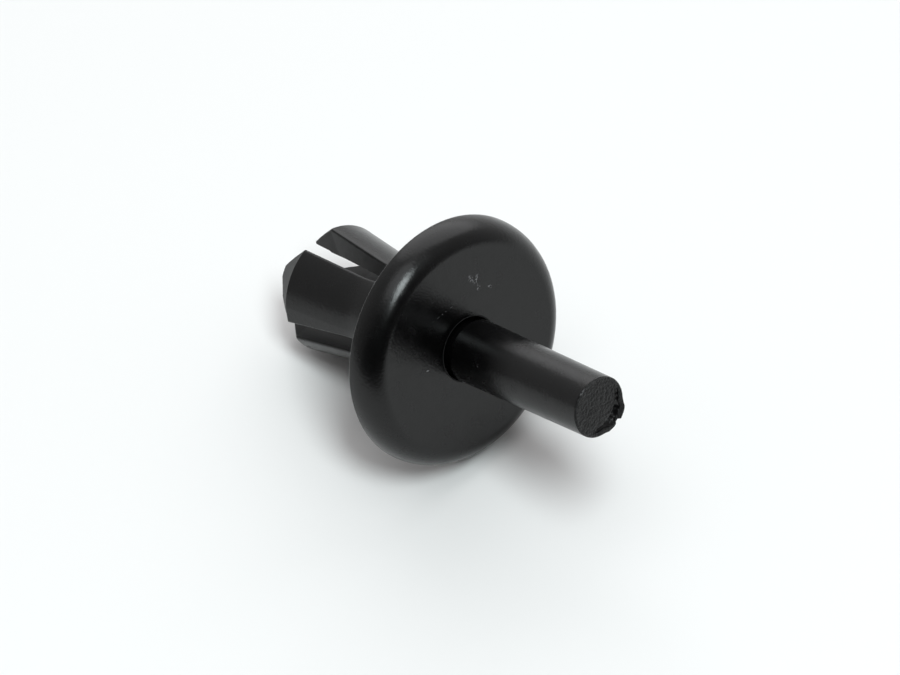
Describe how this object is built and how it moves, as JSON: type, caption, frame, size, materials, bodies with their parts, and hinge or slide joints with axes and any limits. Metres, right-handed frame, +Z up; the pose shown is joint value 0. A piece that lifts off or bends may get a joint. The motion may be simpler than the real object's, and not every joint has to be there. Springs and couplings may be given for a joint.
{
  "type": "push rivet",
  "caption": "Black plastic push rivet: round flat head with a rolled rim, slotted flared shank with chamfered barbs, and a drive pin standing out of the head, ready to be pushed in.",
  "frame": {"origin": "under the middle of the rivet's box, on the surface that it lies on", "axes": "+X along the rivet's length towards the drive pin's free end, which points up by 20.7 degrees; +Z up; XZ is the middle plane, and only the lean of the two side slots differs across it"},
  "size_m": [0.03, 0.018, 0.017],
  "materials": {
    "body_plastic": "satin moulded black",
    "pin_plastic": "satin moulded black"
  },
  "bodies": {
    "rivet_body": {"rivet_body": "body_plastic"},
    "drive_pin": {"drive_pin": "pin_plastic"}
  },
  "joints": [
    {"name": "pin_push", "type": "slide", "parent": "rivet_body", "child": "drive_pin", "axis": [-0.9354, 0, -0.3535], "range_m": [0, 0.0134]}
  ]
}
